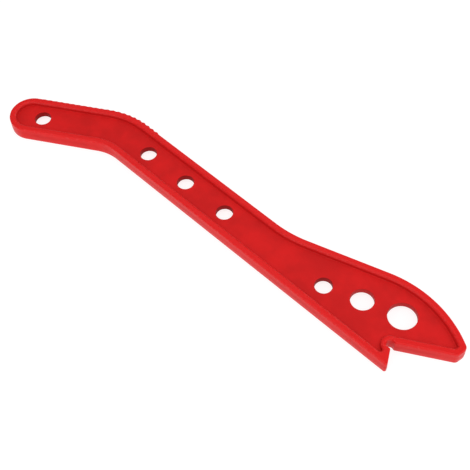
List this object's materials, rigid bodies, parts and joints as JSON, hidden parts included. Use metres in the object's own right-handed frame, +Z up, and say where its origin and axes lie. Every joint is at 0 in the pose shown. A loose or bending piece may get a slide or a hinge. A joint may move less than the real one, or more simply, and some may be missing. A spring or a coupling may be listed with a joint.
{
  "type": "push stick",
  "caption": "Flat moulded push stick with an angled ribbed handle, hanging hole, lightening holes and a right-angled notch that pushes narrow stock past a saw blade.",
  "frame": {"origin": "centre of the bounding box in plan, on the surface the tool lies on", "axes": "+X from the handle to the notched nose, +Y towards the ribbed edge that the palm bears on, +Z up through the thickness"},
  "size_m": [0.4004, 0.1004, 0.012],
  "materials": {
    "red_plastic": "satin, injection-moulded"
  },
  "bodies": {
    "root": {"push_stick_body": "red_plastic"}
  },
  "joints": []
}
